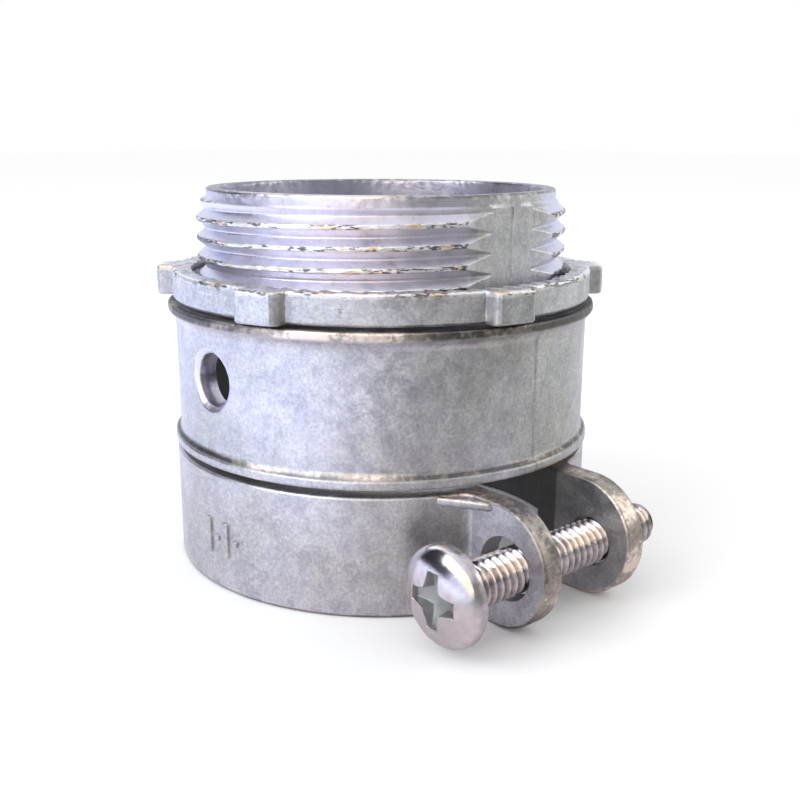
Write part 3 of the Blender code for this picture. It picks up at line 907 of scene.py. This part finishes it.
def screw_shank(under, first):
    """Rolled thread up to the tip, along Z from -under, with points numbered from first.

    Gives points, faces, the numbers of the ring at the head, and grime with painted shade.
    """
    high = SHANK_END - 0.35
    height, faces, bottom, top = lay_helix(
        -under, high, SHANK_PITCH, SHANK_ROWS, SHANK_COLUMNS, first)
    turns = column_angles(SHANK_COLUMNS)
    angle = np.broadcast_to(turns, height.shape).ravel()
    z = height.ravel()
    phase = z / SHANK_PITCH - angle / 360.0
    away = np.abs(phase - np.round(phase)) * 2.0
    up = 1.0 - np.clip((away - 0.06) / 0.86, 0.0, 1.0)
    fade = smooth(z, -under + 0.2, -under + 1.2) * (1.0 - 0.6 * smooth(z, high - 1.2, high))
    radius = SHANK_ROOT_R + (SHANK_R - SHANK_ROOT_R) * up * fade
    radius = radius + 0.02 * rough(around(radius, angle, z), 0.4, 51)
    # grime with painted shade, darker in the thread's roots and near the head
    near_head = 1.0 - smooth(z, -under + 1.5, -under + 6.0)
    grime_and_shade = np.clip(1.5 * (1.0 - up) + 0.2 * near_head, 0.0, 1.0)

    tip = first + len(z) + np.arange(SHANK_COLUMNS)
    end = around(SHANK_ROOT_R - 0.35, turns, SHANK_END)
    points = np.vstack([around(radius, angle, z), end])
    faces = faces.tolist() + lay_rows(np.array([top, tip])).tolist() + [tip.tolist()]
    return points, faces, bottom, np.append(grime_and_shade, np.full(SHANK_COLUMNS, 0.4))


def clamp_screw():
    """Truss-head machine screw, made along Z and then laid along +Y with its head at -Y."""
    under = HEAD_TOP - HEAD_HEIGHT
    head, faces, last, head_grime_and_shade, recess = screw_head(under)
    shank, shank_faces, bottom, shank_grime_and_shade = screw_shank(under, len(head))
    faces += shank_faces
    ratio = HEAD_COLUMNS // SHANK_COLUMNS
    for i in range(SHANK_COLUMNS):
        j = (i + 1) % SHANK_COLUMNS
        edge = [last[(i * ratio + k) % HEAD_COLUMNS] for k in range(ratio + 1)]
        faces.append([*edge, bottom[j], bottom[i]])
    points, faces, used = compact(np.vstack([head, shank]), faces)
    marks = {
        "groove": np.append(head_grime_and_shade, shank_grime_and_shade)[used],
        "recess": np.append(recess, np.zeros(len(shank)))[used],
    }
    laid = np.stack([points[:, 0] + SCREW_X, points[:, 2], SCREW_Z - points[:, 1]], axis=1)
    return make_mesh("clamp_screw_whole", laid, faces, marks, 40.0)


# ---- finishes ----
def add_node(tree, kind, inputs=None, **settings):
    """A shader node; an input is linked when it is given a socket."""
    made = tree.nodes.new("ShaderNode" + kind)
    for key, value in settings.items():
        setattr(made, key, value)
    for key, value in (inputs or {}).items():
        if isinstance(value, bpy.types.NodeSocket):
            tree.links.new(value, made.inputs[key])
        else:
            made.inputs[key].default_value = value
    return made


def stretched(tree, where, scale):
    return add_node(tree, "Mapping", {"Vector": where, "Scale": scale}).outputs[0]


def millimetres(tree):
    """The surface's own coordinates in millimetres."""
    place = add_node(tree, "TexCoord").outputs["Object"]
    return stretched(tree, place, (1000.0, 1000.0, 1000.0))


def noise(tree, where, per_mm, detail=4.0, roughness=0.6, distortion=0.0, stretch=(1.0, 1.0, 1.0)):
    """Noise with per_mm features a millimetre, stretched along the axes."""
    if stretch != (1.0, 1.0, 1.0):
        where = stretched(tree, where, stretch)
    return add_node(tree, "TexNoise", {
        "Vector": where, "Scale": per_mm, "Detail": detail, "Roughness": roughness,
        "Distortion": distortion}).outputs["Fac"]


def span(tree, value, low, high, to_low=0.0, to_high=1.0):
    """Smooth step of a value from one span to another."""
    return add_node(tree, "MapRange", {
        "Value": value, "From Min": low, "From Max": high, "To Min": to_low, "To Max": to_high},
        interpolation_type="SMOOTHSTEP").outputs[0]


def maths(tree, operation, a, b):
    return add_node(tree, "Math", {0: a, 1: b}, operation=operation).outputs[0]


def multiply(tree, *values):
    total = values[0]
    for value in values[1:]:
        total = maths(tree, "MULTIPLY", total, value)
    return total


def add_up(tree, *terms):
    """Sum of (value, weight) terms."""
    parts = [value if weight == 1 else multiply(tree, value, weight) for value, weight in terms]
    total = parts[0]
    for part in parts[1:]:
        total = maths(tree, "ADD", total, part)
    return total


def mix(tree, factor, a, b, blend="MIX"):
    """Two colours or colour sockets mixed; 6 and 7 are the mix node's colour inputs."""
    made = add_node(tree, "Mix", {0: factor, 6: a, 7: b}, data_type="RGBA", blend_type=blend)
    return made.outputs[2]


def paint(red, green, blue):
    return (red, green, blue, 1.0)


def attribute(tree, name):
    return add_node(tree, "Attribute", attribute_name=name).outputs["Fac"]


def grey(tree, value):
    return add_node(tree, "CombineColor", {0: value, 1: value, 2: value}).outputs[0]


def add_bump(tree, shader, height, strength, distance):
    """Bumps on a shader, distance being their height in metres."""
    bump = add_node(tree, "Bump", {"Height": height, "Strength": strength, "Distance": distance})
    tree.links.new(bump.outputs[0], shader.inputs["Normal"])


def new_material(name):
    """A material, its node tree and its shader."""
    mat = bpy.data.materials.new(name)
    mat.use_nodes = True
    return mat, mat.node_tree, mat.node_tree.nodes["Principled BSDF"]


CASTING_COOL, CASTING_WARM = paint(0.74, 0.735, 0.80), paint(0.54, 0.54, 0.515)
LOCKNUT_COOL, LOCKNUT_WARM = paint(0.76, 0.765, 0.81), paint(0.55, 0.555, 0.55)
# bare metal, also used as painted light in the bore's mouth and the sight hole
BARE_AND_LIT_BLUE, BARE_AND_LIT_PINK = paint(0.79, 0.80, 0.96), paint(0.84, 0.80, 0.91)
# the last is painted shade, for the bores, the socket and the band's wall end
PIT, SCUFF, PAINTED_SHADE = paint(0.2, 0.19, 0.19), paint(0.96, 0.96, 0.95), paint(0.13, 0.135, 0.13)
# brown oxide; the dark one is also painted shade in the bead's fillet and on the lugs' flanks
OXIDE_AND_SHADE_DARK, OXIDE_LIGHT = paint(0.06, 0.05, 0.043), paint(0.45, 0.385, 0.32)
# worn-through metal; near the highlight's angle it stands for a painted highlight
WORN_METAL_AND_HIGHLIGHT = paint(0.97, 0.83, 0.72)
CREST_DARK, CREST_BRIGHT = paint(0.17, 0.155, 0.16), paint(0.97, 0.96, 0.97)
CREST_GOLD = paint(0.96, 0.76, 0.55)
STEEL_LIGHT, STEEL_DARK = paint(0.80, 0.76, 0.77), paint(0.68, 0.63, 0.65)
# grime with painted shade for the screw's thread, and painted shade for its recess
GRIME_AND_SHADE, RECESS_GREY = paint(0.20, 0.165, 0.15), paint(0.40, 0.42, 0.41)


def zinc_skin(tree, where, cloud, mottle, grain, streak, cool, warm):
    """Cool and light skin that drifts to a warmer darker grey, streaked down and across."""
    patch = add_up(tree, (cloud, 0.6), (mottle, 0.4))
    colour = mix(tree, span(tree, patch, 0.36, 0.64), cool, warm)
    cross = noise(tree, where, 0.8, 3.0, 0.7, 0.9, (4.0, 4.0, 0.35))
    shade = multiply(
        tree,
        span(tree, mottle, 0.3, 0.7, 0.72, 1.2),
        span(tree, grain, 0.3, 0.7, 0.80, 1.15),
        span(tree, streak, 0.58, 0.7, 1.0, 1.18),
        span(tree, cross, 0.6, 0.7, 1.0, 0.82),
    )
    return mix(tree, 1.0, colour, grey(tree, shade), "MULTIPLY")


def oxide_wear_and_highlight(tree, where, wear_and_highlight):
    """Brown oxide, worn through to bright metal in places; brighter, a painted highlight, where the
    highlight mark is high, and darker, a painted shade, where it is below 0.
    """
    worn = noise(tree, where, 0.11, 3.0, 0.6, 0.6)
    rub = noise(tree, where, 1.6, 5.0, 0.65, 0.3)
    wear = add_up(tree, (worn, 0.7), (rub, 0.3), (wear_and_highlight, 0.14))
    brown = mix(tree, span(tree, wear, 0.46, 0.60), OXIDE_AND_SHADE_DARK, OXIDE_LIGHT)
    return mix(tree, span(tree, wear, 0.60, 0.66), brown, WORN_METAL_AND_HIGHLIGHT)


def crest_flecks_and_highlight(tree, where, wear_and_highlight):
    """Long bright flecks, with dark ones and a little gold; more bright ones at the painted
    highlight and fewer, a painted shade, further round.
    """
    density = noise(tree, where, 0.16, 2.0, 0.5)
    fleck = noise(tree, where, 2.6, 3.0, 0.6, 0.0, (0.32, 0.32, 1.3))
    gold = noise(tree, where, 0.7, 2.0, 0.6, 0.0, (0.4, 0.4, 1.5))
    bright = mix(tree, span(tree, gold, 0.56, 0.62), CREST_BRIGHT, CREST_GOLD)
    bias = add_up(tree, (fleck, 1), (density, 0.55), (wear_and_highlight, 0.1))
    return mix(tree, span(tree, bias, 0.74, 0.81), CREST_DARK, bright)


def cast_zinc(name, cool, warm, roughness, pitting):
    """Raw zinc die casting: mottled skin, pits, scuffs, brown oxide, bright broken crests, with
    painted highlight, painted shade and painted light from the marks.
    """
    mat, tree, shader = new_material(name)
    where = millimetres(tree)
    cloud = noise(tree, where, 0.05, 3.0, 0.6, 0.5)
    mottle = noise(tree, where, 0.4, 7.0, 0.7, 0.4)
    grain = noise(tree, where, 2.6, 6.0, 0.7)
    streak = noise(tree, where, 0.6, 4.0, 0.7, 0.5, (0.22, 0.22, 5.0))
    pit = span(tree, noise(tree, where, 2.1, 2.0, 0.5), 0.72 - pitting, 0.77 - pitting)
    scuff = span(tree, noise(tree, where, 2.4, 2.0, 0.5, 1.5), 0.66, 0.72)
    # bare bright metal in the thread, the bore's mouth and the sight hole, with painted light in
    # the bore's mouth and on the sight hole's bevel and wall
    bare_and_lit = mix(tree, span(tree, cloud, 0.42, 0.58), BARE_AND_LIT_BLUE, BARE_AND_LIT_PINK)
    bare_and_painted_light = multiply(tree, attribute(tree, "bare_and_painted_light"), span(tree, mottle, 0.3, 0.6, 0.45, 0.8))
    # painted highlight and painted shade by angle, with a set level of wear on the locknut and the
    # ears
    wear_and_highlight = attribute(tree, "wear_and_highlight")
    # painted shade in the bores, the socket and the band's wall end
    deep = attribute(tree, "inside")

    colour = zinc_skin(tree, where, cloud, mottle, grain, streak, cool, warm)
    layers = (
        (multiply(tree, pit, 0.4), PIT),
        (multiply(tree, scuff, 0.5), SCUFF),
        (bare_and_painted_light, bare_and_lit),
        # oxide, with painted shade in the bead's fillet and on the locknut's lugs' flanks
        (multiply(tree, attribute(tree, "oxide_and_shade"), 0.85), oxide_wear_and_highlight(tree, where, wear_and_highlight)),
        (multiply(tree, attribute(tree, "flash"), 0.95), crest_flecks_and_highlight(tree, where, wear_and_highlight)),
        (multiply(tree, deep, 0.75), PAINTED_SHADE),
    )
    for factor, over in layers:
        colour = mix(tree, factor, colour, over)
    tree.links.new(colour, shader.inputs["Base Color"])
    shader.inputs["Metallic"].default_value = 0.95

    matt = span(tree, mottle, 0.3, 0.7, roughness - 0.07, roughness + 0.1)
    matt = add_up(tree, (matt, 1), (pit, 0.25), (deep, 0.2), (bare_and_painted_light, -0.1))
    tree.links.new(matt, shader.inputs["Roughness"])
    height = add_up(tree, (grain, 0.5), (mottle, 0.9), (pit, -0.8), (streak, 0.3))
    add_bump(tree, shader, height, 0.7, 0.00007)
    return mat


def plated_steel():
    """Bright plated steel; brown grime with painted shade low in the thread, and painted shade in
    the recess.
    """
    mat, tree, shader = new_material("plated_steel")
    where = millimetres(tree)
    mottle = noise(tree, where, 0.8, 5.0, 0.6, 0.3)
    grain = noise(tree, where, 5.0, 3.0, 0.6)
    recess = attribute(tree, "recess")
    colour = mix(tree, span(tree, mottle, 0.35, 0.65), STEEL_LIGHT, STEEL_DARK)
    # grime with painted shade low in the thread, and painted shade in the recess
    dirt = multiply(tree, attribute(tree, "groove"), span(tree, mottle, 0.3, 0.6, 0.5, 0.9))
    colour = mix(tree, dirt, colour, GRIME_AND_SHADE)
    colour = mix(tree, multiply(tree, recess, 0.85), colour, RECESS_GREY)
    tree.links.new(colour, shader.inputs["Base Color"])
    shader.inputs["Metallic"].default_value = 1.0
    matt = span(tree, grain, 0.3, 0.7, 0.12, 0.2)
    tree.links.new(add_up(tree, (matt, 1), (recess, 0.3)), shader.inputs["Roughness"])
    add_bump(tree, shader, grain, 0.35, 0.00003)
    return mat


# ---- stage ----
def look_from(position, target, roll):
    """Camera matrix at position, aimed at target and rolled about its own axis."""
    back = (Vector(position) - Vector(target)).normalized()
    right = Vector((0, 0, 1)).cross(back).normalized()
    up = back.cross(right)
    turn = math.radians(roll)
    rolled_right = right * math.cos(turn) + up * math.sin(turn)
    rolled_up = up * math.cos(turn) - right * math.sin(turn)
    matrix = Matrix((rolled_right, rolled_up, back)).transposed().to_4x4()
    matrix.translation = Vector(position)
    return matrix


CAMERA_PLACE = Vector((103.73, -85.51, 20.57)) * MM
CAMERA_FORWARD = Vector((-0.7346, 0.6294, -0.2534))
CAMERA_ROLL = 0.27
CAMERA_LENS = 45.45
AWAY = Vector((CAMERA_FORWARD.x, CAMERA_FORWARD.y, 0.0)).normalized()  # level, from the camera
LEFT = Vector((-AWAY.y, AWAY.x, 0.0))
RAISED = Vector((0, 0, 0.2))
FLOOR_HALF = 3.0  # metres, so that the floor fills the picture
FLOOR_GAP = 0.00005  # metres between the floor and the part

# what reflections see; the camera and all other light see white
WHITE, FLOOR_WHITE = paint(1.0, 1.0, 1.0), paint(0.99, 0.99, 0.99)
ROOM, WINDOW = paint(0.27, 0.275, 0.28), paint(0.93, 1.0, 1.26)
SIDE_WALL, FAR_WALL = paint(0.93, 0.96, 0.95), paint(0.93, 0.97, 1.08)
CEILING, LAMP, SCREEN = paint(1.0, 1.0, 1.08), paint(1.7, 1.5, 1.25), paint(0.02, 0.02, 0.03)
# painted shade under the part, seen only in reflections
UNDER_PART = paint(0.84, 0.77, 0.80)


def make_camera():
    data = bpy.data.cameras.new("camera")
    data.lens = CAMERA_LENS
    data.sensor_width = 36.0
    data.clip_start = 0.005
    camera = add_object("camera", data)
    camera.matrix_world = look_from(CAMERA_PLACE, CAMERA_PLACE + CAMERA_FORWARD, CAMERA_ROLL)
    bpy.context.scene.camera = camera


def area_light(name, place, size, power, colour):
    """A square lamp aimed at the part, with its place and size in metres."""
    data = bpy.data.lights.new(name, "AREA")
    data.shape = "RECTANGLE"
    data.size, data.size_y = size, size
    data.energy = power
    data.color = colour
    light = add_object(name, data)
    light.matrix_world = look_from(Vector(place), Vector((0, 0, -0.01)), 0.0)


def facing(tree, toward, direction, low, high, strength):
    """How far a ray points in a direction: 0 below low, strength above high."""
    unit = Vector(direction).normalized()
    across = add_node(tree, "VectorMath", {0: toward, 1: unit}, operation="DOT_PRODUCT")
    return span(tree, across.outputs["Value"], low, high, 0.0, strength)


def surroundings(tree, toward):
    """What the metal sees to the sides: a cool window left, darkness in front, a wall right."""
    window = facing(tree, toward, LEFT + RAISED, -0.12, 0.5, 1.0)
    side = facing(tree, toward, AWAY * 0.5 - LEFT + RAISED, 0.45, 0.95, 0.5)
    behind = facing(tree, toward, AWAY, 0.55, 0.9, 1.0)
    light = mix(tree, window, ROOM, WINDOW)
    light = mix(tree, side, light, SIDE_WALL)
    return mix(tree, behind, light, FAR_WALL)


def for_glossy(tree, others, reflected):
    """One colour for reflections, and another for the camera and all other light."""
    glossy = add_node(tree, "LightPath").outputs["Is Glossy Ray"]
    return mix(tree, glossy, others, reflected)


def studio_world():
    """Even white surroundings; reflections see a window, a lamp, a ceiling and a dark screen."""
    world = bpy.data.worlds.new("studio")
    world.use_nodes = True
    tree = world.node_tree
    toward = add_node(tree, "TexCoord").outputs["Generated"]
    light = surroundings(tree, toward)
    light = mix(tree, facing(tree, toward, (0, 0, 1), 0.5, 0.85, 0.85), light, CEILING)
    light = mix(tree, facing(tree, toward, (0.45, -0.75, 0.5), 0.86, 0.95, 1.2), light, LAMP)
    light = mix(tree, facing(tree, toward, (-0.72, -0.62, 0.32), 0.79, 0.9, 1.0), light, SCREEN)
    light = for_glossy(tree, WHITE, light)
    tree.links.new(light, tree.nodes["Background"].inputs["Color"])
    return world


def pale_floor():
    """White; reflections see it darker under the part, a painted shade, and like the surroundings
    further out.
    """
    mat, tree, shader = new_material("pale_floor")
    place = add_node(tree, "TexCoord").outputs["Object"]
    toward = add_node(tree, "VectorMath", {0: place}, operation="NORMALIZE").outputs[0]
    away = add_node(tree, "VectorMath", {0: place}, operation="LENGTH").outputs["Value"]
    far_out = span(tree, away, 0.05, 0.12, 0.35, 1.0)
    seen = mix(tree, far_out, UNDER_PART, surroundings(tree, toward))
    tree.links.new(for_glossy(tree, FLOOR_WHITE, seen), shader.inputs["Base Color"])
    shader.inputs["Roughness"].default_value = 0.9
    return mat


def make_stage():
    """Floor, world and lamps."""
    mesh = bpy.data.meshes.new("floor")
    level = BASE * MM - FLOOR_GAP
    around_part = ((-1, -1), (1, -1), (1, 1), (-1, 1))
    outline = [(x * FLOOR_HALF, y * FLOOR_HALF, level) for x, y in around_part]
    mesh.from_pydata(outline, [], [(0, 1, 2, 3)])
    floor = add_object("floor", mesh)
    mesh.materials.append(pale_floor())
    bpy.context.scene.world = studio_world()
    bpy.context.scene.view_settings.view_transform = "Standard"
    area_light("key", (-0.1, -0.5, 0.35), 0.4, 1.5, (0.85, 0.9, 1.0))
    area_light("fill", (0.35, 0.55, 0.3), 0.3, 0.6, (1.0, 0.95, 0.9))


# ---- pieces on their bodies ----
def add_casting(zinc):
    """The casting, and the web and two halves of its band."""
    body = casting()
    body.data.materials.append(zinc)
    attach(body, "fitting_body")
    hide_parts("fitting_body")

    root = band_root()
    root.data.materials.append(zinc)
    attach(root, "fitting_body")

    arms = (("clamp_arm_front", -1, CLEARANCE_HOLE), ("clamp_arm_rear", 1, TAPPED_HOLE))
    for name, side, hole in arms:
        half = band_half(name.replace("clamp_arm", "band"), side, hole)
        half.data.materials.append(zinc)
        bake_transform(half)
        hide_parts(name)


def add_locknut(zinc):
    nut = locknut()
    nut.data.materials.append(zinc)
    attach(nut, "locknut")
    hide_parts("locknut", "locknut_core")


def add_screw(steel):
    screw = clamp_screw()
    screw.data.materials.append(steel)
    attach(screw, "clamp_screw")
    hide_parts("clamp_screw", "clamp_screw_core")


def main():
    make_camera()
    make_stage()
    add_casting(cast_zinc("zinc_casting", CASTING_COOL, CASTING_WARM, 0.38, 0.0))
    add_locknut(cast_zinc("zinc_locknut", LOCKNUT_COOL, LOCKNUT_WARM, 0.44, 0.03))
    add_screw(plated_steel())


main()
